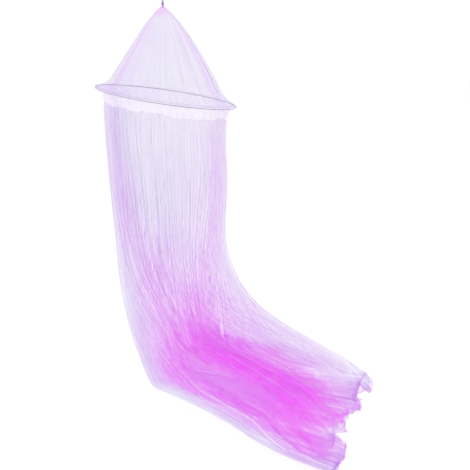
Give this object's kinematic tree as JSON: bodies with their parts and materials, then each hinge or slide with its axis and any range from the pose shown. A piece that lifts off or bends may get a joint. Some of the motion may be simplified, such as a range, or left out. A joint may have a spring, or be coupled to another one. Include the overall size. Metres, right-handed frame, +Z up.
{
  "type": "mosquito net canopy with hoop",
  "caption": "Mosquito net canopy: a net cone on a wire hoop, a lace frill and a long pleated net skirt drawn aside, its train on the floor.",
  "frame": {"origin": "inside top of the hanging loop, where a ceiling hook carries it", "axes": "+Z up; +X the side to which the train is drawn; -Y the front; the floor is 1.75 m below the origin"},
  "size_m": [1.2399, 1.1032, 1.7516],
  "materials": {
    "cord": "twisted mauve cord",
    "thread": "mauve thread",
    "roof_net": "fine lilac net, matt",
    "wire": "smooth coated wire",
    "lace": "white lace",
    "skirt_net": "fine pink net, matt"
  },
  "bodies": {
    "root": {"hanging_loop": "cord", "whipping": "thread", "roof_net": "roof_net", "hoop": "wire", "frill": "lace", "skirt": "skirt_net"}
  },
  "joints": []
}
